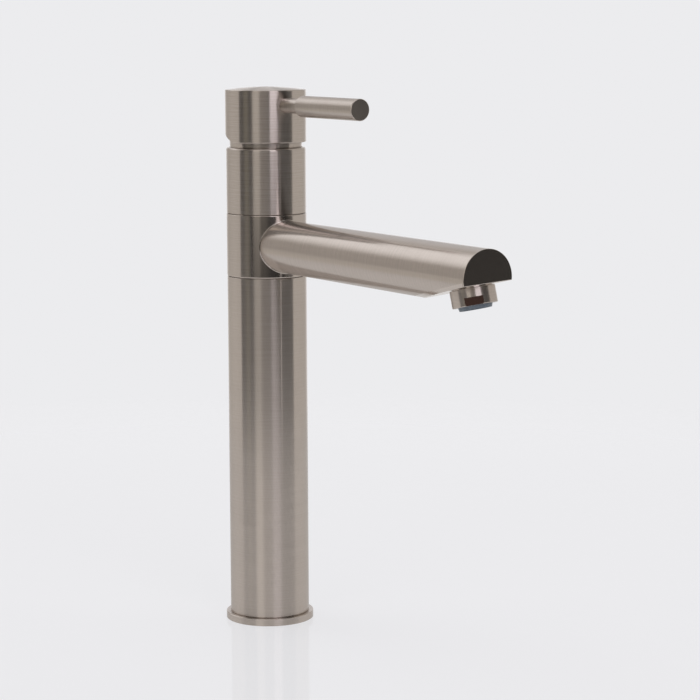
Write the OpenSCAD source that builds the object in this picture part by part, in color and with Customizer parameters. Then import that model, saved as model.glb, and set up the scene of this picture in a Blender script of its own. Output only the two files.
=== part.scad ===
// Single-lever kitchen mixer tap on a round column, with a level swivelling spout.
// All sizes are millimetres. The origin is the middle of the underside of the foot,
// +Z points up the column, and at rest the spout and the lever both point towards -Y.

/* [Base] */
// Outer diameter of the base ring
ring_d = 51; // [50:0.5:60]
// Thickness of the base ring
ring_h = 4.1; // [3.5:0.1:8]
// Height of the inlet block inside the foot of the column
block_h = 36; // [32:1:60]

/* [Column] */
// Outer diameter of the column
column_d = 46; // [46:0.1:48]
// Wall of the column tube
column_wall = 2; // [1.5:0.1:2.2]
// Height of the joint between the column and the spout collar
column_top = 202.5; // [140:0.5:260]

/* [Spout] */
// Height of the collar that carries the spout
collar_h = 36.2; // [36:0.2:44]
// Outer diameter of that collar
collar_d = 46.2; // [46:0.1:48]
// Outer diameter of the spout tube
spout_d = 30; // [28:0.5:32]
// Wall of the spout tube and of the plates that close it
spout_wall = 1.5; // [1:0.1:2]
// Reach of the spout, from the column's axis to its end face
spout_reach = 219.6; // [160:0.2:260]
// Slope of the cut under the spout's mouth
mouth_angle = 13; // [10:0.5:16]
// How far under the tube's axis the cut meets the end face
mouth_drop = 2.5; // [1:0.1:5]
// How far the tube stands turned about its own axis on the collar
spout_roll = 3.5; // [-5:0.5:5]

/* [Aerator] */
// Outer diameter of the aerator shell
aerator_d = 23.6; // [23.4:0.1:25]
// How far the shell stands out of the cut
aerator_h = 9.4; // [8.8:0.1:12]
// Distance along the cut from the end face to the aerator's axis
aerator_back = 14.7; // [13.5:0.1:25]
// Distance across the wrench flats on the shell
aerator_flats = 21.6; // [21.4:0.1:22.4]
// Direction that the first wrench flat faces, seen from below
flats_turn = 35; // [0:5:175]

/* [Head] */
// Height of the fixed collar above the spout
head_h = 37.9; // [37.5:0.1:45]
// Outer diameter of that collar
head_d = 45.9; // [45.6:0.1:48]
// Open gap between the fixed collar and the lever cap
cap_gap = 2.9; // [2.5:0.1:4]
// Diameter of the domed neck seen in the gap
neck_d = 41.7; // [41.6:0.1:41.8]

/* [Lever] */
// Outer diameter of the lever cap
cap_d = 46.6; // [46.4:0.1:48]
// Height of the lever cap at its rim
cap_h = 30; // [29:0.5:36]
// How far the cap's top is crowned
cap_crown = 1.5; // [0.5:0.1:2]
// Slope of the relief cut under the rear of the cap
relief_angle = 20.5; // [20:0.5:24]
// How far in front of the middle the relief cut starts
relief_start = 2.7; // [0:0.1:4]
// Height of the lever's axis over the cap's lower edge
lever_rise = 21.4; // [19:0.1:22]
// Diameter of the slim pin between cap and grip
pin_d = 8.5; // [7:0.1:9]
// Diameter of the grip
grip_d = 12; // [10:0.5:16]
// Distance from the column's axis to the start of the grip
grip_start = 41; // [30:0.5:60]
// Distance from the column's axis to the end of the grip
lever_reach = 101; // [80:0.5:140]

/* [Hidden] */
$fn = 96;

// Clearances and edge breaks
slip = 0.05;        // between pieces that are fixed to each other
running = 0.08;     // radial play of a turning fit
seam = 0.1;         // set-back of each piece from a joint line that turns
edge = 0.35;        // chamfer on the turned pieces
fine_edge = 0.3;    // chamfer on the small turned pieces
joint_edge_r = 0.4; // rounding of the edges that face up at the joint lines
over = 1;           // how far a cutter runs past the face that it opens

// Heights along the column
collar_z0 = column_top + seam;
collar_z1 = column_top + collar_h - seam;
head_z0 = column_top + collar_h + seam;
head_z1 = column_top + collar_h + head_h;
cap_z0 = head_z1 + cap_gap;
cap_z1 = cap_z0 + cap_h;
spout_z = column_top + collar_h / 2;
pivot_z = cap_z0;
lever_z = cap_z0 + lever_rise;

// Radii
column_r = column_d / 2;
column_bore_r = column_r - column_wall;
collar_r = collar_d / 2;
collar_bore_r = 19.5;
core_r = 19.2;
neck_r = neck_d / 2;
spout_r = spout_d / 2;
spout_bore_r = spout_r - spout_wall;
collar_foot_r = 0.8;

// Foot: a spigot in the ring, two hose inlets and one stud hole within a 35 mm worktop hole
spigot_r = 17.2;
stud_r = 3.4;
stud_y = 11;
stud_depth = 22;
inlet_r = 4.5;
inlet_depth = 12;
way_x = 8;
way_y = -2.5;
way_r = 3.5;
seal_groove_r0 = 20;
seal_groove_r1 = 24;
seal_groove_h = 2.2;
ring_foot_edge = 0.2;
ring_top_edge = 0.25;

// Risers between the inlet block and the valve body
riser_r = 5;
riser_bore_r = 4;
socket_depth = 10;
riser_seal_r = 0.9;
riser_groove_r = 6.9;
riser_groove_h = 2;
flange_h = 14.3;
flange_z0 = column_top - seam - flange_h;

// Valve body: grooves on its core, the ring of water round it, and the cartridge's cup
glide_groove_r = 17.7;
glide_h = 4;
glide_flange_r = 21.6;
glide_flange_h = 0.4;
glide_float = 0.1;
glide_rim = 0.3;
glide_split = 0.8;
spout_seal_r = 1.4;
spout_seal_groove_r = 16.6;
spout_seal_z = 6.6;
annulus_r = 15.5;
annulus_h = 16;
mixed_y = 8;
mixed_r = 4.5;
cup_r = 19.4;
cup_bore_r = 17.6;
cup_thread_r = 18.3;
cup_floor_z = head_z0 + 7.1;
cup_h = 27;
nut_seat_z = cup_floor_z + 20.5;
collar_thread_h = 23;

// Cartridge, from its base upwards
base_r = 17.4;
base_h = 4;
peg_x = 9;
peg_r = 2;
peg_h = 2.4;
port_r = 3.4;
port_seal_r = 1.05;
port_seal_mid_r = 4.9;
disc_z = cup_floor_z + base_h;
disc_r = 15.2;
disc_h = 3.2;
slide_z = disc_z + disc_h + slip;
slide_disc_r = 11.8;
slide_disc_h = 3.8;
slide_disc_y = 1.9;
mixing_depth = 1.8;
carrier_z = slide_z + slide_disc_h;
carrier_h = 3;
boss_r = 4.8;
boss_top_z = pivot_z - 8.7;
ball_r = 3.4;
ball_drop = 11;
ball_play = 0.25;
cavity_r = 15.4;
cavity_top_z = nut_seat_z - 2.1;
housing_neck_r = 14.3;
housing_top_z = pivot_z - 2.9;
guide_flange_r = 15;
guide_flange_h = 3.8;
guide_r = 11.8;
guide_top_z = pivot_z + 5;
guide_window_top_z = pivot_z - 8.1;
guide_float = 0.2;
guide_play = 0.3;
pivot_r = 1.5;
pivot_half_length = 10.5;
stem_w = 7;
stem_shank_r = 2.2;
stem_square_z = pivot_z - 5.5;
stem_top_z = lever_z + 2.6;
guide_slot_w = stem_w + 0.2;

// Lever cap and what is screwed into it
cap_r = cap_d / 2;
cap_bore_r = 22;
cap_roof = 4;
cap_edge_r = 0.6;
cap_rim_r = 0.6;
cap_boss_r = 11;
cap_boss_z0 = pivot_z + 10.5;
thread_r = 3;
screw_r = 2.95;
grub_length = 3;
grub_hex_r = 1.73;
pin_r = pin_d / 2;
pin_thread = 4;
grip_r = grip_d / 2;
grip_thread = 11;
grip_chamfer = 1.2;

// Neck dome
dome_wall = 2;
dome_open_z = pivot_z + 9.5;
neck_skirt_r = 19.45;
neck_skirt_drop = 2;

// Mouth of the spout and the aerator on it
outlet_plate_h = 2;
nipple_r = 10.4;
nipple_bore_r = 8;
nipple_h = 5.5;
port_bore_r = 8;
aerator_gap = 0.45;
aerator_r = aerator_d / 2;
aerator_lip_h = 1.3;
washer_h = 1;
insert_r = 8.9;
insert_end_r = 8.4;
insert_out = 1.9;
insert_flange_r = 10.3;
insert_top_r = 7.6;
insert_wall = 1.2;
insert_floor = 1;
insert_recess = 0.8;
insert_z0 = 1;
strainer_z0 = 0.2;
flats_h = 4.2;
jet_r = 0.75;
jet_pitch = 2.1;
jet_field_r = 6.6;

// Half-plane rectangle of a turned piece, between two radii and two heights
module slab(r0, r1, z0, z1) {
    translate([r0, z0]) square([r1 - r0, z1 - z0]);
}

// Ring turned about Z with a chamfer at the foot and at the head of its outer face
module turned_ring(r0, r1, z0, z1, low = 0, high = 0) {
    outer = [[r1 - low, z0], [r1, z0 + low], [r1, z1 - high], [r1 - high, z1]];
    rotate_extrude() polygon(concat([[r0, z0]], outer, [[r0, z1]]));
}

// Corner that is cut off in the half plane to round an outer edge; up is 1 or -1
module edge_waste(r, z, radius, up) {
    translate([r - radius, z - up * radius]) mirror([0, up < 0 ? 1 : 0]) difference() {
        square(radius + over);
        circle(radius);
    }
}

// Corner that is cut off in the half plane to chamfer an outer edge at the foot of a piece
module foot_waste(r, z, size) {
    polygon([[r - size, z], [r, z + size], [r + over, z - over]]);
}

// Rubber ring of round section
module round_seal(middle_r, section_r) {
    rotate_extrude() translate([middle_r, 0]) circle(section_r);
}

// Places of the hot and cold waterways, hot on the left seen from the front
module at_ways() {
    for (side = [-1, 1]) translate([side * way_x, way_y, 0]) children();
}

// Lays a piece drawn along +Z out along -Y at a given height
module forwards(z) {
    translate([0, 0, z]) rotate([90, 0, 0]) children();
}

// Frame of the spout tube: its axis is Y, turned about itself by the roll
module on_spout() {
    translate([0, 0, spout_z]) rotate([0, -spout_roll, 0]) children();
}

// Frame of the cut under the mouth: +Z leaves the cut, -Y runs back to the column
module on_mouth() {
    on_spout() translate([0, -spout_reach, -mouth_drop]) rotate([180 - mouth_angle, 0, 0]) children();
}

// Frame of the aerator, on the cut
module on_aerator() {
    on_mouth() translate([0, -aerator_back, 0]) children();
}

// Everything beyond a plane that lies a given depth inside the cut
module mouth_waste(depth) {
    on_mouth() translate([-spout_d, -spout_reach / 2, -depth]) cube([2 * spout_d, spout_reach, spout_d]);
}

// Flat seal that lies in the underside of the ring, flush with it on the worktop
module base_seal() {
    color("#2b2b2d") turned_ring(seal_groove_r0 + slip, seal_groove_r1 - slip, 0, seal_groove_h - slip);
}

// Ring that covers the worktop hole and carries the column
module base_ring() {
    color("#a59d94") difference() {
        turned_ring(spigot_r + 2 * slip, ring_d / 2, 0, ring_h, ring_foot_edge, ring_top_edge);
        turned_ring(seal_groove_r0, seal_groove_r1, -over, seal_groove_h);
    }
}

// Block in the foot of the column with the hose inlets, the stud hole and the riser sockets
module inlet_block() {
    color("#b98f4b") difference() {
        union() {
            cylinder(h = ring_h + slip, r = spigot_r);
            translate([0, 0, ring_h]) cylinder(h = block_h - ring_h, r = column_bore_r - slip);
        }
        at_ways() {
            translate([0, 0, -over]) cylinder(h = inlet_depth + over, r = inlet_r);
            cylinder(h = block_h, r = way_r);
            translate([0, 0, block_h - socket_depth]) cylinder(h = socket_depth + over, r = riser_r + slip);
            translate([0, 0, block_h - socket_depth / 2])
                cylinder(h = riser_groove_h, r = riser_groove_r);
        }
        translate([0, stud_y, -over]) cylinder(h = stud_depth + over, r = stud_r);
    }
}

// Brushed tube that is the visible column
module column_tube() {
    top_z = column_top - seam;
    color("#9c948a") rotate_extrude() difference() {
        slab(column_bore_r, column_r, ring_h, top_z);
        foot_waste(column_r, ring_h, edge);
        edge_waste(column_r, top_z, joint_edge_r, 1);
    }
}

// Water pipe between the inlet block and the valve body
module riser() {
    z0 = block_h - socket_depth + slip;
    z1 = flange_z0 + socket_depth - slip;
    turned_ring(riser_bore_r, riser_r, z0, z1);
}

module hot_riser() {
    color("#c08a55") translate([-way_x, way_y, 0]) riser();
}

module cold_riser() {
    color("#c08a55") translate([way_x, way_y, 0]) riser();
}

// Four rubber rings that seal the ends of the risers in their sockets
module riser_seals() {
    lower_z = block_h - socket_depth / 2 + riser_groove_h / 2;
    upper_z = flange_z0 + socket_depth / 2 - riser_groove_h / 2;
    color("#2b2b2d") at_ways() for (z = [lower_z, upper_z])
        translate([0, 0, z]) round_seal(riser_r + slip + riser_seal_r, riser_seal_r);
}

// Half-plane outline of the valve body: flange, grooved core and cartridge cup
module valve_outline() {
    z0 = column_top - seam;
    z1 = head_z0;
    difference() {
        union() {
            slab(0, column_bore_r - slip, flange_z0, z0);
            slab(0, core_r, z0 - slip, z1 + slip);
            slab(0, cup_r, z1, cup_floor_z + cup_h);
        }
        slab(glide_groove_r, core_r + over, z0, z0 + glide_h + slip);
        slab(glide_groove_r, core_r + over, z1 - glide_h - slip, z1);
        for (z = [z0 + spout_seal_z, z1 - spout_seal_z])
            slab(spout_seal_groove_r, core_r + over, z - spout_seal_r - slip, z + spout_seal_r + slip);
        slab(annulus_r, core_r + over, spout_z - annulus_h / 2, spout_z + annulus_h / 2);
        slab(0, cup_bore_r, cup_floor_z, nut_seat_z);
        slab(0, cup_thread_r, nut_seat_z, cup_floor_z + cup_h + over);
    }
}

// Valve body: water goes up through two ways, and comes back down mixed to the spout
module valve_body() {
    color("#b98f4b") difference() {
        rotate_extrude() valve_outline();
        at_ways() {
            translate([0, 0, flange_z0 - over]) cylinder(h = socket_depth + over, r = riser_r + slip);
            translate([0, 0, flange_z0 + socket_depth / 2 - riser_groove_h])
                cylinder(h = riser_groove_h, r = riser_groove_r);
            translate([0, 0, flange_z0]) cylinder(h = cup_floor_z + over - flange_z0, r = way_r);
        }
        translate([0, mixed_y, spout_z - mixed_r])
            cylinder(h = cup_floor_z + over - spout_z + mixed_r, r = mixed_r);
        translate([0, mixed_y, spout_z]) rotate([-90, 0, 0]) cylinder(h = core_r, r = mixed_r);
        for (side = [-1, 1]) translate([side * peg_x, mixed_y, cup_floor_z - peg_h - 2 * slip])
            cylinder(h = peg_h + over, r = peg_r + slip);
    }
}

// Split plastic ring on which the spout collar turns; its flange sits in a rebate of the collar
module glide_ring() {
    difference() {
        rotate_extrude() {
            slab(glide_groove_r + slip, collar_bore_r - running, 0, glide_h);
            slab(glide_groove_r + slip, glide_flange_r, 0, glide_flange_h);
        }
        translate([0, -glide_split / 2, -over]) cube([column_r, glide_split, glide_h + 2 * over]);
    }
}

module lower_glide_ring() {
    color("#1f1f21") translate([0, 0, column_top - seam]) glide_ring();
}

module upper_glide_ring() {
    color("#1f1f21") translate([0, 0, head_z0]) mirror([0, 0, 1]) glide_ring();
}

module lower_spout_seal() {
    color("#2b2b2d") translate([0, 0, column_top - seam + spout_seal_z])
        round_seal(spout_seal_groove_r + spout_seal_r, spout_seal_r);
}

module upper_spout_seal() {
    color("#2b2b2d") translate([0, 0, head_z0 - spout_seal_z])
        round_seal(spout_seal_groove_r + spout_seal_r, spout_seal_r);
}

// Fixed collar over the spout: screwed on the cup, it keeps the spout collar down
module head_collar() {
    top_edge_r = 1.4;
    outer_r = head_d / 2;
    inner_r = neck_r + 2 * slip;
    color("#9c948a") rotate_extrude() difference() {
        slab(cup_r + slip, outer_r, head_z0, head_z1);
        slab(0, inner_r, head_z0 + collar_thread_h, head_z1 + over);
        edge_waste(outer_r, head_z1, top_edge_r, 1);
        foot_waste(outer_r, head_z0, edge);
        polygon([[neck_r, head_z1 - edge], [inner_r + edge, head_z1 + slip], [neck_r, head_z1 + slip]]);
    }
}

// Neck under the lever cap: a screwed skirt with a dome centred on the lever's pivot
module domed_neck() {
    step_z = head_z1 - 0.6;
    color("#948c82") rotate_extrude() difference() {
        union() {
            slab(0, neck_r, head_z0 + collar_thread_h + slip, step_z);
            intersection() {
                translate([0, pivot_z]) circle(neck_r);
                slab(0, neck_r, step_z, dome_open_z);
            }
        }
        slab(-neck_r, neck_skirt_r, head_z0, pivot_z - neck_skirt_drop);
        translate([0, pivot_z]) circle(neck_r - dome_wall);
        slab(-neck_r, 0, head_z0, dome_open_z);
    }
}

// Threaded ring with a hexagon that holds the cartridge down in its cup
module retaining_nut() {
    hex_r = 18.4;
    thread_h = 5;
    hex_h = 4;
    color("#b98f4b") difference() {
        union() {
            translate([0, 0, nut_seat_z]) cylinder(h = thread_h, r = cup_thread_r - slip);
            translate([0, 0, nut_seat_z + thread_h]) cylinder(h = hex_h, r = hex_r, $fn = 6);
        }
        translate([0, 0, nut_seat_z - over])
            cylinder(h = thread_h + hex_h + 2 * over, r = housing_neck_r + 2 * slip);
    }
}

// Places of the three ports under the cartridge
module at_ports() {
    at_ways() children();
    translate([0, mixed_y, 0]) children();
}

// Three rubber rings under the cartridge, one round each port
module cartridge_seals() {
    color("#2b2b2d") at_ports() translate([0, 0, cup_floor_z + port_seal_r])
        round_seal(port_seal_mid_r, port_seal_r);
}

// Plastic base of the cartridge with its ports, seal grooves and two locating pegs
module cartridge_base() {
    groove_h = 2 * port_seal_r + slip;
    color("#d9d6cf") difference() {
        union() {
            translate([0, 0, cup_floor_z]) cylinder(h = base_h, r = base_r);
            for (side = [-1, 1]) translate([side * peg_x, mixed_y, cup_floor_z - peg_h])
                cylinder(h = peg_h + slip, r = peg_r);
        }
        at_ports() {
            translate([0, 0, cup_floor_z - over]) cylinder(h = base_h + 2 * over, r = port_r);
            turned_ring(port_seal_mid_r - port_seal_r - slip, port_seal_mid_r + port_seal_r + slip,
                cup_floor_z - over, cup_floor_z + groove_h);
        }
    }
}

// Plastic housing of the cartridge: a cylinder with a neck that the lever guide turns in
module cartridge_housing() {
    color("#e7e4de") rotate_extrude() difference() {
        union() {
            slab(0, base_r, disc_z, nut_seat_z);
            slab(0, housing_neck_r, nut_seat_z - slip, housing_top_z);
        }
        slab(0, cavity_r, disc_z - over, cavity_top_z);
        slab(0, guide_r + running, disc_z, housing_top_z + over);
    }
}

// Kidney outline round one inlet port
module kidney() {
    middle = atan2(way_y, way_x);
    half_angle = 22;
    inner_r = 5.6;
    outer_r = 11.2;
    far = disc_r + over;
    difference() {
        circle(outer_r);
        circle(inner_r);
        rotate(middle + half_angle) translate([-far, 0]) square([2 * far, far]);
        rotate(middle - half_angle) translate([-far, -far]) square([2 * far, far]);
    }
}

// Lower ceramic disc with two kidney inlets, a round outlet and two locating notches
module fixed_disc() {
    outlet_r = 3.8;
    notch_r = 1.5;
    color("#f2f0ea") translate([0, 0, disc_z]) linear_extrude(disc_h) difference() {
        circle(disc_r);
        kidney();
        mirror([1, 0]) kidney();
        translate([0, mixed_y]) circle(outlet_r);
        for (side = [-1, 1]) translate([side * disc_r, 0]) circle(notch_r);
    }
}

// Upper ceramic disc: a mixing pocket in its face joins the inlets to the outlet as it slides
module moving_disc() {
    pocket_r = 10.2;
    pocket_y = 3.5;
    color("#f2f0ea") difference() {
        translate([0, slide_disc_y, slide_z]) cylinder(h = slide_disc_h, r = slide_disc_r);
        translate([0, 0, slide_z - over]) linear_extrude(mixing_depth + over) intersection() {
            translate([0, slide_disc_y]) circle(pocket_r);
            translate([-pocket_r, pocket_y]) square([2 * pocket_r, pocket_r]);
        }
    }
}

// Carrier that grips the upper disc, with a socket for the ball of the lever stem
module disc_carrier() {
    rim_r = 13;
    rim_drop = 1.5;
    socket_z = pivot_z - ball_drop - ball_r - ball_play;
    color("#7c8f6a") difference() {
        union() {
            translate([0, slide_disc_y, carrier_z - rim_drop]) cylinder(h = carrier_h + rim_drop, r = rim_r);
            translate([0, 0, carrier_z]) cylinder(h = boss_top_z - carrier_z, r = boss_r);
        }
        translate([0, slide_disc_y, carrier_z - rim_drop - over])
            cylinder(h = rim_drop + over, r = slide_disc_r + slip);
        translate([0, 0, socket_z]) cylinder(h = boss_top_z + over - socket_z, r = ball_r + ball_play);
    }
}

// Guide that turns with the lever and carries its pivot pin
module lever_guide() {
    flange_z = cavity_top_z - guide_float - guide_flange_h;
    window_w = 2 * (boss_r + guide_play);
    window_y0 = -9.2;
    window_y1 = 5.2;
    slot_y0 = -7;
    slot_y1 = 7.5;
    color("#3f4244") difference() {
        union() {
            translate([0, 0, flange_z]) cylinder(h = guide_flange_h, r = guide_flange_r);
            translate([0, 0, flange_z]) cylinder(h = guide_top_z - flange_z, r = guide_r);
        }
        translate([-window_w / 2, window_y0, flange_z - over])
            cube([window_w, window_y1 - window_y0, guide_window_top_z - flange_z + over]);
        translate([-guide_slot_w / 2, slot_y0, flange_z])
            cube([guide_slot_w, slot_y1 - slot_y0, guide_top_z + over - flange_z]);
        translate([-guide_r - over, 0, pivot_z]) rotate([0, 90, 0])
            cylinder(h = 2 * (guide_r + over), r = pivot_r);
    }
}

// Steel pin that the lever tilts on
module pivot_pin() {
    color("#c9c9c6") translate([-pivot_half_length, 0, pivot_z]) rotate([0, 90, 0])
        cylinder(h = 2 * pivot_half_length, r = pivot_r);
}

// Square stem on the pivot pin, with a ball at its foot that drives the disc carrier
module lever_stem() {
    ball_z = pivot_z - ball_drop;
    color("#c9c9c6") difference() {
        union() {
            translate([-stem_w / 2, -stem_w / 2, stem_square_z])
                cube([stem_w, stem_w, stem_top_z - stem_square_z]);
            translate([0, 0, ball_z]) cylinder(h = stem_square_z + slip - ball_z, r = stem_shank_r);
            translate([0, 0, ball_z]) sphere(ball_r);
        }
        translate([-stem_w, 0, pivot_z]) rotate([0, 90, 0]) cylinder(h = 2 * stem_w, r = pivot_r + slip);
    }
}

// Half-plane outline of the lever cap with its crowned top and its boss for the stem
module cap_outline() {
    roof_z = cap_z1 - cap_roof;
    top_z = cap_z1 + cap_crown;
    crown_r = (pow(cap_r - cap_rim_r, 2) + pow(cap_crown, 2)) / (2 * cap_crown);
    difference() {
        intersection() {
            slab(0, cap_r, cap_z0, top_z);
            translate([0, top_z - crown_r]) circle(crown_r, $fn = 360);
        }
        slab(cap_boss_r, cap_bore_r, cap_z0 - over, roof_z);
        slab(0, cap_boss_r + slip, cap_z0 - over, cap_boss_z0);
        edge_waste(cap_r, cap_z0, cap_edge_r, -1);
        edge_waste(cap_r, cap_z1, cap_rim_r, 1);
    }
}

// Lever cap: relieved under its rear half, so that it clears the collar as the lever lifts
module lever_cap() {
    square_w = stem_w + 2 * slip;
    color("#9c948a") difference() {
        rotate_extrude() cap_outline();
        translate([0, -relief_start, cap_z0]) rotate([relief_angle, 0, 0])
            translate([-cap_d, 0, -cap_d]) cube([2 * cap_d, 2 * cap_d, cap_d]);
        translate([-square_w / 2, -square_w / 2, cap_boss_z0 - over])
            cube([square_w, square_w, stem_top_z + slip + over - cap_boss_z0]);
        forwards(lever_z) cylinder(h = cap_boss_r, r = thread_r);
        forwards(lever_z) translate([0, 0, cap_boss_r]) cylinder(h = cap_r, r = pin_r + slip);
    }
}

// Short screw with a hexagon socket that clamps the stem, hidden behind the lever pin
module grub_screw() {
    color("#55585a") forwards(lever_z) translate([0, 0, stem_w / 2]) difference() {
        cylinder(h = grub_length, r = screw_r);
        translate([0, 0, grub_length / 2]) cylinder(h = grub_length, r = grub_hex_r, $fn = 6);
    }
}

// Slim pin that screws into the cap's boss and carries the grip
module lever_pin() {
    color("#a59d94") forwards(lever_z) {
        translate([0, 0, cap_boss_r - pin_thread]) cylinder(h = pin_thread + slip, r = screw_r);
        translate([0, 0, cap_boss_r]) cylinder(h = grip_start - cap_boss_r, r = pin_r);
        translate([0, 0, grip_start - slip]) cylinder(h = grip_thread, r = screw_r);
    }
}

// Grip of the lever
module lever_grip() {
    color("#9c948a") forwards(lever_z) difference() {
        turned_ring(0, grip_r, grip_start, lever_reach, grip_chamfer, fine_edge);
        translate([0, 0, grip_start - over]) cylinder(h = grip_thread + 2 * over, r = thread_r);
    }
}

// Collar that turns on the valve body and carries the spout
module spout_collar() {
    rebate_r = glide_flange_r + glide_rim;
    rebate_h = glide_flange_h + glide_float - 2 * seam;
    color("#a39b91") difference() {
        rotate_extrude() difference() {
            slab(collar_bore_r, collar_r, collar_z0, collar_z1);
            slab(0, rebate_r, collar_z0 - over, collar_z0 + rebate_h);
            slab(0, rebate_r, collar_z1 - rebate_h, collar_z1 + over);
            edge_waste(collar_r, collar_z0, collar_foot_r, -1);
            edge_waste(collar_r, collar_z1, joint_edge_r, 1);
        }
        forwards(spout_z) cylinder(h = collar_d, r = port_bore_r);
    }
}

// Spout tube: coped to the collar at one end, cut on a slant under its mouth
module spout_tube() {
    color("#9c948a") difference() {
        on_spout() rotate([90, 0, 0])
            turned_ring(spout_bore_r, spout_r, 0, spout_reach - spout_wall);
        cylinder(h = 2 * spout_z, r = collar_r);
        mouth_waste(outlet_plate_h);
    }
}

// Flat plate that closes the end of the tube
module spout_end_plate() {
    round_edge = 0.15;
    chord_edge = 0.15;
    color("#6d665e") difference() {
        on_spout() rotate([90, 0, 0])
            turned_ring(0, spout_r, spout_reach - spout_wall, spout_reach, 0, round_edge);
        mouth_waste(0);
        on_spout() translate([0, -spout_reach, -mouth_drop]) rotate([45 - mouth_angle / 2, 0, 0])
            translate([-spout_r, -over, -over]) cube([spout_d, over + chord_edge, 2 * over]);
    }
}

// Slanted plate that closes the cut, with the threaded nipple for the aerator
module outlet_plate() {
    color("#9c948a") difference() {
        union() {
            difference() {
                on_spout() rotate([90, 0, 0]) cylinder(h = spout_reach - spout_wall, r = spout_r);
                mouth_waste(0);
                on_mouth() translate([-spout_d, -spout_reach, -outlet_plate_h - spout_reach])
                    cube([2 * spout_d, 2 * spout_reach, spout_reach]);
            }
            on_aerator() translate([0, 0, -slip]) cylinder(h = nipple_h + slip, r = nipple_r);
        }
        on_aerator() translate([0, 0, -spout_r]) cylinder(h = 2 * spout_r, r = nipple_bore_r);
    }
}

// Flat washer between the nipple and the jet insert
module aerator_washer() {
    color("#2b2b2d") on_aerator()
        turned_ring(nipple_bore_r, nipple_r - slip, nipple_h, nipple_h + washer_h);
}

// Fine strainer on top of the jet insert
module aerator_strainer() {
    strainer_h = insert_z0 - strainer_z0;
    holes = 12;
    inner_ring_r = 3;
    inner_hole_r = 0.6;
    outer_ring_r = 5.4;
    outer_hole_r = 0.8;
    color("#c9c9c6") on_aerator() translate([0, 0, strainer_z0]) difference() {
        cylinder(h = strainer_h, r = insert_top_r);
        for (hole = [1:holes]) {
            rotate(hole * 360 / holes) translate([inner_ring_r, 0, -over])
                cylinder(h = strainer_h + 2 * over, r = inner_hole_r);
            rotate((hole + 0.5) * 360 / holes) translate([outer_ring_r, 0, -over])
                cylinder(h = strainer_h + 2 * over, r = outer_hole_r);
        }
    }
}

// Plastic insert that breaks the water into jets; its grid shows from below
module aerator_insert() {
    flange_z = nipple_h + washer_h;
    lip_z = aerator_h - aerator_lip_h;
    end_z = aerator_h + insert_out;
    rows = ceil(jet_field_r / jet_pitch);
    chamber_z = insert_z0 + insert_floor;
    chamber_r = insert_top_r - insert_wall;
    color("#6f7f8e") on_aerator() difference() {
        rotate_extrude() polygon([[0, insert_z0], [insert_top_r, insert_z0], [insert_top_r, flange_z],
            [insert_flange_r, flange_z], [insert_flange_r, lip_z], [insert_r, lip_z],
            [insert_r, aerator_h], [insert_end_r, end_z], [0, end_z]]);
        translate([0, 0, chamber_z]) cylinder(h = lip_z - chamber_z, r = chamber_r);
        translate([0, 0, insert_z0 - over])
            cylinder(h = insert_floor + 2 * over, r = chamber_r - insert_floor);
        translate([0, 0, end_z - insert_recess])
            cylinder(h = insert_recess + over, r = insert_end_r - insert_floor);
        for (row = [-rows:rows]) for (step = [-rows:rows]) {
            x = (step + row / 2) * jet_pitch;
            y = row * jet_pitch * sin(60);
            if (norm([x, y]) < jet_field_r)
                translate([x, y, lip_z - over]) cylinder(h = 2 * aerator_h, r = jet_r, $fn = 24);
        }
    }
}

// Threaded shell of the aerator with two flats for a wrench at its rim
module aerator_shell() {
    thread_bore_r = nipple_r + slip;
    color("#a59d94") on_aerator() difference() {
        turned_ring(insert_r + slip, aerator_r, aerator_gap, aerator_h, fine_edge, fine_edge);
        translate([0, 0, -over]) cylinder(h = aerator_h - aerator_lip_h + over, r = thread_bore_r);
        for (side = [0, 180]) rotate(flats_turn + side)
            translate([-aerator_d / 2, aerator_flats / 2, aerator_h - flats_h])
                cube([aerator_d, aerator_d, flats_h + over]);
    }
}

base_seal();
base_ring();
inlet_block();
column_tube();
hot_riser();
cold_riser();
riser_seals();
valve_body();
lower_glide_ring();
upper_glide_ring();
lower_spout_seal();
upper_spout_seal();
head_collar();
domed_neck();
retaining_nut();
cartridge_seals();
cartridge_base();
cartridge_housing();
fixed_disc();
moving_disc();
disc_carrier();
lever_guide();
pivot_pin();
lever_stem();
lever_cap();
grub_screw();
lever_pin();
lever_grip();
spout_collar();
spout_tube();
spout_end_plate();
outlet_plate();
aerator_washer();
aerator_strainer();
aerator_insert();
aerator_shell();
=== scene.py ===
import math

import bpy
from mathutils import Matrix, Vector


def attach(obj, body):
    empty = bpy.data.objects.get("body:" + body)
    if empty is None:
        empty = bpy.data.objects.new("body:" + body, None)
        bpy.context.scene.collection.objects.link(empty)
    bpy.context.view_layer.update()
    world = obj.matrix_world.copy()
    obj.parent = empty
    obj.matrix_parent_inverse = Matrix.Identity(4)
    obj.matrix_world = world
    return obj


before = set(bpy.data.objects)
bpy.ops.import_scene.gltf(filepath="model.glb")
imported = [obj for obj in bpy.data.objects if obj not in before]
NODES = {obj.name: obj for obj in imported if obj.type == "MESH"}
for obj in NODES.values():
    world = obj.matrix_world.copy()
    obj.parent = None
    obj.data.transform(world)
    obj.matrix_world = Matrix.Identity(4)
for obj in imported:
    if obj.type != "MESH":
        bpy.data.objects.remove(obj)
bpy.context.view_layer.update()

bpy.ops.object.select_all(action="DESELECT")

QUARTER = math.pi / 2

# Sizes of the solids that the finishes and the weld follow, in metres and radians
COLLAR_R = 0.0231
SPOUT_Z = 0.2206
SPOUT_R = 0.015
SPOUT_REACH = 0.2196
SPOUT_ROLL = math.radians(-3.5)
MOUTH_DROP = 0.0025
MOUTH_SLOPE = math.radians(167)
AERATOR_BACK = 0.0147
FLATS_TURN = math.radians(35)
FLAT_FROM_AXIS = 0.0108
FLATS_START = 0.0052
LEVER_Z = 0.3009
BEAD_R = 0.00045


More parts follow.
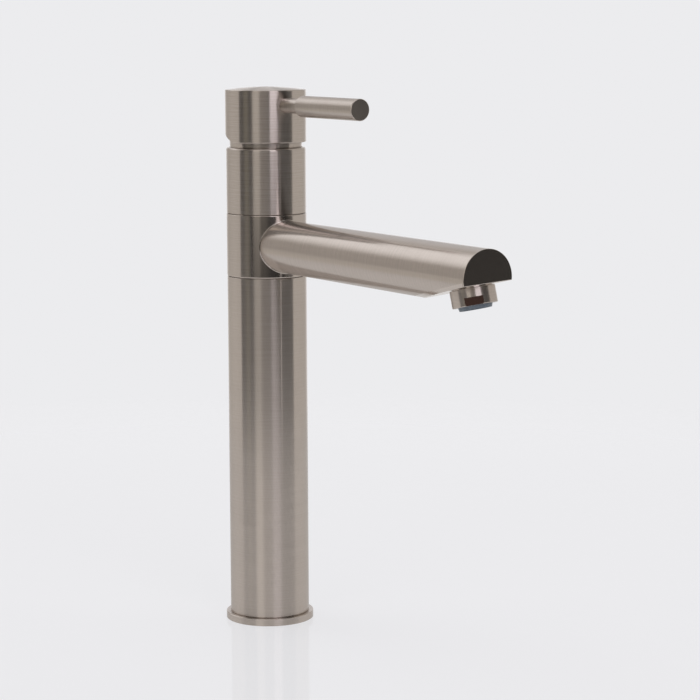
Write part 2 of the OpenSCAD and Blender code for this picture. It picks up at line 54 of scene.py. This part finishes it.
class Signal:
    """A node socket that takes part in sums, each of which adds its own Math node."""

    def __init__(self, graph, socket):
        self.graph = graph
        self.socket = socket

    def __add__(self, other):
        return self.graph.maths("ADD", self, other)

    def __radd__(self, other):
        return self.graph.maths("ADD", other, self)

    def __sub__(self, other):
        return self.graph.maths("SUBTRACT", self, other)

    def __rsub__(self, other):
        return self.graph.maths("SUBTRACT", other, self)

    def __mul__(self, other):
        return self.graph.maths("MULTIPLY", self, other)

    def __rmul__(self, other):
        return self.graph.maths("MULTIPLY", other, self)

    def __lt__(self, other):
        return self.graph.maths("LESS_THAN", self, other)

    def __gt__(self, other):
        return self.graph.maths("GREATER_THAN", self, other)

    def __abs__(self):
        return self.graph.maths("ABSOLUTE", self)


class Graph:
    """The node tree of one finish, or of the studio."""

    def __init__(self, tree):
        self.tree = tree
        tree.nodes.clear()

    def node(self, kind, settings=None, values=None, out=0):
        """Adds a node: its settings first, then what goes into its sockets.

        out is the output that is wanted, or a tuple of several.
        """
        made = self.tree.nodes.new(kind)
        for name, setting in (settings or {}).items():
            setattr(made, name, setting)
        for name, value in (values or {}).items():
            target = made.inputs[name]
            if isinstance(value, Signal):
                self.tree.links.new(value.socket, target)
            else:
                target.default_value = value
        if isinstance(out, tuple):
            return [Signal(self, made.outputs[name]) for name in out]
        return Signal(self, made.outputs[out]) if len(made.outputs) else made

    def maths(self, operation, *values):
        return self.node("ShaderNodeMath", {"operation": operation}, dict(enumerate(values)))

    def ramp(self, value, low, high, to_low=0.0, to_high=1.0):
        """A soft step from to_low at low to to_high at high."""
        return self.node(
            "ShaderNodeMapRange",
            {"interpolation_type": "SMOOTHSTEP"},
            {"Value": value, "From Min": low, "From Max": high, "To Min": to_low, "To Max": to_high},
        )

    def blend(self, share, first, second):
        """Mixes two colours, as the share goes from 0 to 1."""
        return self.node(
            "ShaderNodeMix", {"data_type": "RGBA"}, {"Factor": share, 6: first, 7: second}, out=2
        )

    def layer(self, share, first, second):
        """Mixes two shaders, as the share goes from 0 to 1."""
        return self.node("ShaderNodeMixShader", None, {"Fac": share, 1: first, 2: second})

    def place(self, turn=(0, 0, 0), centre=(0, 0, 0), stretch=(1, 1, 1)):
        """Object coordinates with their origin at centre, turned, then stretched."""
        here = self.node("ShaderNodeTexCoord", out="Object")
        moved = self.node(
            "ShaderNodeMapping", {"vector_type": "TEXTURE"},
            {"Vector": here, "Location": centre, "Rotation": turn},
        )
        return self.node("ShaderNodeVectorMath", {"operation": "MULTIPLY"}, {0: moved, 1: stretch})

    def axes(self, where):
        """The x, y and z of a place, or of a direction."""
        return self.node("ShaderNodeSeparateXYZ", None, {0: where}, out=("X", "Y", "Z"))

    def rays(self, *kinds):
        """For each kind of ray named, 1 where the light comes along such a ray."""
        return self.node("ShaderNodeLightPath", out=kinds)

    def noise(self, where, detail=2.0, roughness=0.5):
        return self.node(
            "ShaderNodeTexNoise", None,
            {"Vector": where, "Scale": 1.0, "Detail": detail, "Roughness": roughness},
        )


def colour(red, green, blue):
    return (red, green, blue, 1.0)


def grey(level):
    return colour(level, level, level)


class Finish(Graph):
    """A surface finish that takes the place of a piece's plain one."""

    def __init__(self, name):
        self.material = bpy.data.materials.new(name)
        self.material.use_nodes = True
        super().__init__(self.material.node_tree)

    def shader(self, **values):
        named = {name.replace("_", " "): value for name, value in values.items()}
        return self.node("ShaderNodeBsdfPrincipled", None, named)

    def glow(self, tone, strength):
        return self.node("ShaderNodeEmission", None, {"Color": tone, "Strength": strength})

    def clear(self):
        return self.node("ShaderNodeBsdfTransparent")

    def bump(self, height, strength, depth):
        return self.node(
            "ShaderNodeBump", None, {"Height": height, "Strength": strength, "Distance": depth}
        )

    def finish_with(self, shader):
        self.node("ShaderNodeOutputMaterial", None, {"Surface": shader})
        return self.material


METAL = colour(0.62, 0.55, 0.50)
METAL_DULL = colour(0.575, 0.508, 0.46)


def brushed(
    name, turn=(0, 0, 0), centre=(0, 0, 0), scratched=0.38, smooth=0.12, land=0.45, streaky=0.09,
    rubbed=None, polish=0.14,
):
    """Warm grey metal, smooth on the land between fine brush lines round the piece's own axis.

    scratched and smooth are the roughness of the lines and of the land. land is the land's share
    of the surface, and streaky is how far that share varies from line to line. Where rubbed gives
    a mask, the metal has the roughness polish, and the brush lines have gone.
    """
    look = Finish(name)
    fine = look.noise(look.place(turn, centre, (60, 60, 5200)), detail=2.0, roughness=0.6)
    streaks = look.noise(look.place(turn, centre, (70, 70, 1900)), detail=1.0)
    broad = look.noise(look.place(turn, centre, (30, 30, 900)), detail=2.0)
    cloud = look.noise(look.place(turn, centre, (38, 38, 60)), detail=2.0)
    lines = fine * 0.5 + streaks * 0.26 + broad * 0.07 + cloud * 0.17

    def along_lines(in_grooves, on_lands):
        return look.ramp(lines, 0.35, 0.65, in_grooves, on_lands)

    tone = look.blend(look.ramp(lines, 0.2, 0.8), METAL_DULL, METAL)
    shared = {
        "Base_Color": tone, "Metallic": 1.0, "Specular_Tint": grey(0.85),
        "Anisotropic": 1.0, "Anisotropic_Rotation": 0.25,
    }
    grooves = look.shader(Roughness=along_lines(scratched + 0.03, scratched - 0.03), **shared)
    lands = look.shader(Roughness=along_lines(smooth + 0.02, smooth - 0.02), **shared)
    metal = look.layer(along_lines(land - streaky, land + streaky), grooves, lands)
    if rubbed:
        polished = look.shader(Base_Color=tone, Metallic=1.0, Roughness=polish)
        metal = look.layer(rubbed(look), metal, polished)
    return look.finish_with(metal)


def beside_the_weld(look):
    """1 on the front of the collar beside the spout, where the weld was polished, 0 on the rest."""
    x, y, _ = look.axes(look.place())
    from_the_side = look.ramp(x, -0.0205, -0.0165)
    up_to_the_spout = look.ramp(x, -0.004, 0.002, 1.0, 0.0)
    return from_the_side * up_to_the_spout * (y < 0)


def end_face(look):
    """1 on the flat end of the spout, 0 round its rim."""
    _, y, _ = look.axes(look.place())
    return look.ramp(y, 0.00005 - SPOUT_REACH, 0.00015 - SPOUT_REACH, 1.0, 0.0)


def wrench_flats(look):
    """1 on the two polished flats of the aerator, 0 on the rest of its shell."""
    # Along the spout to its mouth, then back down the slope of the mouth to the shell
    shell = (
        Matrix.Translation((0, 0, SPOUT_Z)) @ Matrix.Rotation(SPOUT_ROLL, 4, "Y")
        @ Matrix.Translation((0, -SPOUT_REACH, -MOUTH_DROP)) @ Matrix.Rotation(MOUTH_SLOPE, 4, "X")
        @ Matrix.Translation((0, -AERATOR_BACK, 0)) @ Matrix.Rotation(FLATS_TURN, 4, "Z")
    )
    _, y, z = look.axes(look.place(tuple(shell.to_euler()), tuple(shell.translation)))
    out_at_a_flat = look.ramp(abs(y), FLAT_FROM_AXIS - 0.00007, FLAT_FROM_AXIS - 0.00003)
    return out_at_a_flat * look.ramp(z, FLATS_START - 0.0001, FLATS_START + 0.0001)


def flat_plate(name):
    """The same metal on a flat face, ground smooth with hardly a line."""
    look = Finish(name)
    lines = look.noise(look.place(stretch=(60, 2600, 2600)), detail=3.0, roughness=0.6)
    cloud = look.noise(look.place(stretch=(120, 120, 120)), detail=3.0)
    both = lines * 0.4 + cloud * 0.6
    return look.finish_with(look.shader(
        Base_Color=look.blend(look.ramp(both, 0.3, 0.7), METAL_DULL, METAL),
        Metallic=1.0,
        Roughness=look.ramp(both, 0.3, 0.7, 0.20, 0.17),
    ))


def plain(name, tone, rough, metallic=0.0):
    """An inner piece's moulded or machined finish: a little uneven in tone and gloss."""
    look = Finish(name)
    mottle = look.noise(look.place(stretch=(400, 400, 400)), detail=4.0)
    lines = look.noise(look.place(stretch=(30, 30, 2500)), detail=2.0)
    both = mottle * 0.5 + lines * 0.5
    dull = colour(*(0.82 * part for part in tone))
    return look.finish_with(look.shader(
        Base_Color=look.blend(look.ramp(both, 0.35, 0.65), dull, colour(*tone)),
        Metallic=metallic,
        Roughness=look.ramp(both, 0.3, 0.7, rough + 0.05, rough - 0.05),
        Normal=look.bump(both, 0.2, 0.00003),
    ))


# The spout and the lever lie along Y, so the lines round them are turned a quarter about X
ROUND_SPOUT = {"turn": (QUARTER, 0, 0), "centre": (0, 0, SPOUT_Z)}
ROUND_LEVER = {"turn": (QUARTER, 0, 0), "centre": (0, 0, LEVER_Z)}

FINISHES = {
    brushed("brushed_round_column", streaky=0.05): ["base_ring", "column_tube"],
    brushed("brushed_round_head"): ["head_collar", "domed_neck", "lever_cap"],
    brushed("brushed_collar_polished_in_front", streaky=0.06, rubbed=beside_the_weld): ["spout_collar"],
    brushed(
        "fine_turned_shell", scratched=0.36, smooth=0.2, land=0.3, rubbed=wrench_flats, polish=0.1
    ): ["aerator_shell"],
    brushed("brushed_round_spout", smooth=0.08, land=0.6, streaky=0.06, **ROUND_SPOUT): ["spout_tube"],
    brushed("brushed_round_grip", streaky=0.07, **ROUND_LEVER): ["lever_grip"],
    brushed("fine_turned_pin", scratched=0.34, smooth=0.14, land=0.5, **ROUND_LEVER): ["lever_pin"],
    brushed(
        "brushed_rim_ground_end", smooth=0.08, land=0.6, rubbed=end_face, polish=0.19, **ROUND_SPOUT
    ): ["spout_end_plate"],
    flat_plate("ground_plate"): ["outlet_plate"],
    plain("turned_brass", (0.72, 0.52, 0.25), 0.3, 1.0): ["inlet_block", "valve_body", "retaining_nut"],
    plain("drawn_copper", (0.80, 0.47, 0.31), 0.3, 1.0): ["hot_riser", "cold_riser"],
    plain("black_rubber", (0.03, 0.03, 0.032), 0.6): [
        "base_seal", "riser_seals", "lower_spout_seal", "upper_spout_seal", "cartridge_seals",
        "aerator_washer",
    ],
    plain("black_glide_plastic", (0.035, 0.035, 0.037), 0.45): [
        "lower_glide_ring", "upper_glide_ring", "lever_guide",
    ],
    plain("pale_cartridge_plastic", (0.72, 0.69, 0.62), 0.4): [
        "cartridge_base", "cartridge_housing", "disc_carrier",
    ],
    plain("lapped_ceramic", (0.82, 0.80, 0.75), 0.15): ["fixed_disc", "moving_disc"],
    plain("ground_steel", (0.62, 0.62, 0.61), 0.28, 1.0): [
        "pivot_pin", "lever_stem", "grub_screw", "aerator_strainer",
    ],
    plain("blue_grey_jet_plastic", (0.22, 0.27, 0.33), 0.4): ["aerator_insert"],
}
for finish, names in FINISHES.items():
    for name in names:
        slots = NODES[name].data.materials
        slots.clear()
        slots.append(finish)

# The brushed gloss runs round the Z axis of a piece's texture space. On the pieces that lie along Y
# that space is set far off along Y, from where round its axis means straight across the piece.
for name in ("spout_tube", "spout_end_plate", "lever_pin", "lever_grip"):
    mesh = NODES[name].data
    mesh.use_auto_texspace = False
    mesh.texspace_location = (0, 10, 0)
    mesh.texspace_size = (1, 1, 1)


def studio():
    """The room as the metal mirrors it, and one plain pale tone for the camera."""
    world = bpy.data.worlds.new("studio")
    world.use_nodes = True
    bpy.context.scene.world = world
    room = Graph(world.node_tree)
    x, y, z = room.axes(room.node("ShaderNodeTexCoord", out="Generated"))
    degrees = 180 / math.pi
    bearing = room.maths("ARCTAN2", x, y) * degrees
    rise = room.maths("ARCSINE", z) * degrees

    def panel(middle, half_width, soft, low=-90, high=90, soft_rise=6):
        """1 inside a panel of the room, by bearing and by height, in degrees."""
        off = abs(room.maths("WRAP", bearing - middle, 180, -180))
        across = room.ramp(off, half_width - soft, half_width + soft, 1.0, 0.0)
        under = room.ramp(rise, high - soft_rise, high + soft_rise, 1.0, 0.0)
        over = room.ramp(rise, low - soft_rise, low + soft_rise, 0.0, 1.0)
        return across * under * over

    seen = grey(0.03)
    for mask, tone in [
        # Below: the room's own floor past the edge of the board
        (panel(0, 190, 5, high=-13, soft_rise=5), colour(0.25, 0.24, 0.22)),
        # Behind: the white sweep, brighter at its middle and towards its foot
        (panel(31, 98.5, 3, high=60, soft_rise=20), colour(0.60, 0.58, 0.55)),
        (panel(31, 98.5, 3, high=-7, soft_rise=5), colour(0.70, 0.68, 0.64)),
        (panel(33, 24, 14, low=-12, high=10, soft_rise=4), colour(1.22, 1.22, 1.24)),
        (panel(33, 24, 14, low=10, high=30, soft_rise=4), colour(0.85, 0.85, 0.87)),
        (panel(-34, 33, 4, low=-4, high=18, soft_rise=4), colour(0.53, 0.51, 0.485)),
        # In front: a dim ceiling, a warm wall, a bright and a faint streak, and a small dark patch
        (panel(212, 56, 20, low=36, soft_rise=14), colour(0.62, 0.60, 0.60)),
        (panel(224, 18, 12, low=-3, high=40, soft_rise=5), colour(0.42, 0.40, 0.37)),
        (panel(239, 10, 4, low=-3, high=40, soft_rise=5), colour(0.92, 0.89, 0.83)),
        (panel(269, 7, 5, low=-8, high=30, soft_rise=8), colour(0.19, 0.18, 0.14)),
        (panel(217, 7, 3, low=4, high=22, soft_rise=3), colour(0.06, 0.035, 0.03)),
        # The stand of the soft lamp, a fine bright line
        (panel(170, 1.2, 0.8, low=-25, high=-3.5, soft_rise=1.5), colour(0.80, 0.77, 0.77)),
        # Above: the ceiling, and a window high on the left behind
        (panel(0, 190, 5, low=65, soft_rise=14), grey(0.9)),
        (panel(-20, 22, 12, low=22, high=60, soft_rise=8), colour(1.32, 1.34, 1.36)),
    ]:
        seen = room.blend(mask, seen, tone)
    (camera,) = room.rays("Is Camera Ray")
    backdrop = room.blend(camera, seen, colour(0.838, 0.838, 0.855))
    light = room.node("ShaderNodeBackground", None, {"Color": backdrop, "Strength": 1.0})
    room.node("ShaderNodeOutputWorld", None, {"Surface": light})


def soft_lamp():
    """The lamp in front, near enough for the spout to keep its light off the column below."""
    bearing = math.radians(187)
    distance, height = 1.0, 0.75
    bpy.ops.mesh.primitive_plane_add(
        size=1,
        location=(distance * math.sin(bearing), distance * math.cos(bearing), height),
        rotation=(QUARTER, 0, math.pi - bearing),
    )
    lamp = bpy.context.object
    lamp.name = "soft_lamp"
    lamp.scale = (0.54, 1.06, 1)
    look = Finish("soft_lamp_cloth")
    x, y, _ = look.axes(look.place())
    cloth = look.ramp(abs(x), 0.31, 0.47, 1.0, 0.0) * look.ramp(abs(y), 0.45, 0.5, 1.0, 0.0)
    shine = look.glow(colour(1.0, 0.966, 1.05), 1.7)
    lamp.data.materials.append(look.finish_with(look.layer(cloth, look.clear(), shine)))
    lamp.visible_camera = False
    lamp.visible_shadow = False


def weld_bead():
    """The fine bead of weld where the spout's foot meets the collar."""
    bpy.ops.mesh.primitive_cylinder_add(
        vertices=256, radius=COLLAR_R, depth=0.04, location=(0, 0, SPOUT_Z)
    )
    collar = bpy.context.object
    # A ring in front of the collar lands on it along the spout, and a round section follows it
    bpy.ops.mesh.primitive_circle_add(
        vertices=160, radius=SPOUT_R + BEAD_R / 4, location=(0, -0.04, SPOUT_Z), rotation=(QUARTER, 0, 0)
    )
    bead = bpy.context.object
    bead.name = "weld_bead"
    onto = bead.modifiers.new("onto_collar", "SHRINKWRAP")
    onto.target = collar
    onto.wrap_method = "PROJECT"
    onto.use_project_z = True
    onto.use_positive_direction = True
    onto.use_negative_direction = True
    bpy.ops.object.modifier_apply(modifier=onto.name)
    bpy.ops.object.convert(target="CURVE")
    bead.data.bevel_depth = BEAD_R
    bead.data.bevel_resolution = 4
    bpy.ops.object.convert(target="MESH")
    bpy.ops.object.transform_apply(location=True, rotation=True, scale=True)
    bpy.ops.object.mode_set(mode="EDIT")
    bpy.ops.mesh.select_all(action="SELECT")
    bpy.ops.mesh.normals_make_consistent(inside=False)
    bpy.ops.mesh.select_all(action="DESELECT")
    bpy.ops.object.mode_set(mode="OBJECT")
    bpy.ops.object.shade_smooth()
    bead.data.materials.clear()
    bead.data.materials.append(plain("bright_weld", (0.66, 0.60, 0.55), 0.12, 1.0))
    bpy.data.objects.remove(collar)
    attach(bead, "spout")


def pale_floor():
    """A smooth round board that mirrors the tap faintly and fades into the backdrop at its rim."""
    bpy.ops.mesh.primitive_circle_add(vertices=96, radius=0.9, fill_type="NGON", location=(0, 0, 0))
    floor = bpy.context.object
    floor.name = "pale_floor"
    look = Finish("pale_floor_board")
    here = look.node("ShaderNodeTexCoord", out="Object")
    from_middle = look.node("ShaderNodeVectorMath", {"operation": "LENGTH"}, {0: here}, out="Value")
    speckle = look.noise(look.place(stretch=(60, 60, 60)), detail=3.0)
    board = look.shader(Base_Color=look.blend(speckle, grey(0.80), grey(0.82)), Roughness=0.07, IOR=1.4)
    camera, glossy = look.rays("Is Camera Ray", "Is Glossy Ray")
    backdrop = look.glow(look.blend(camera, grey(0.84), colour(0.99, 0.99, 1.02)), 1.0)
    shown = look.layer(look.maths("MAXIMUM", camera, glossy) * 0.6, board, backdrop)
    faded = look.layer(look.ramp(from_middle, 0.55, 0.85), shown, look.clear())
    floor.data.materials.append(look.finish_with(faded))


def set_camera():
    """The photograph's view: place, directions and lens were fitted to the tap's outlines."""
    yaw, pitch, roll = math.radians(-32.246), math.radians(8.071), 0.00413
    ahead = Vector((-math.sin(yaw) * math.cos(pitch), math.cos(yaw) * math.cos(pitch), -math.sin(pitch)))
    level = Vector((math.cos(yaw), math.sin(yaw), 0))
    down = ahead.cross(level)
    right = math.cos(roll) * level + math.sin(roll) * down
    below = -math.sin(roll) * level + math.cos(roll) * down
    data = bpy.data.cameras.new("photo_camera")
    data.sensor_width = 36
    data.lens = 123.09
    camera = bpy.data.objects.new("photo_camera", data)
    bpy.context.scene.collection.objects.link(camera)
    turn = Matrix((right, -below, -ahead)).transposed().to_4x4()
    camera.matrix_world = Matrix.Translation((-0.6954, -1.1920, 0.3539)) @ turn
    bpy.context.scene.camera = camera


studio()
soft_lamp()
weld_bead()
pale_floor()
set_camera()
bpy.context.scene.view_settings.view_transform = "Standard"
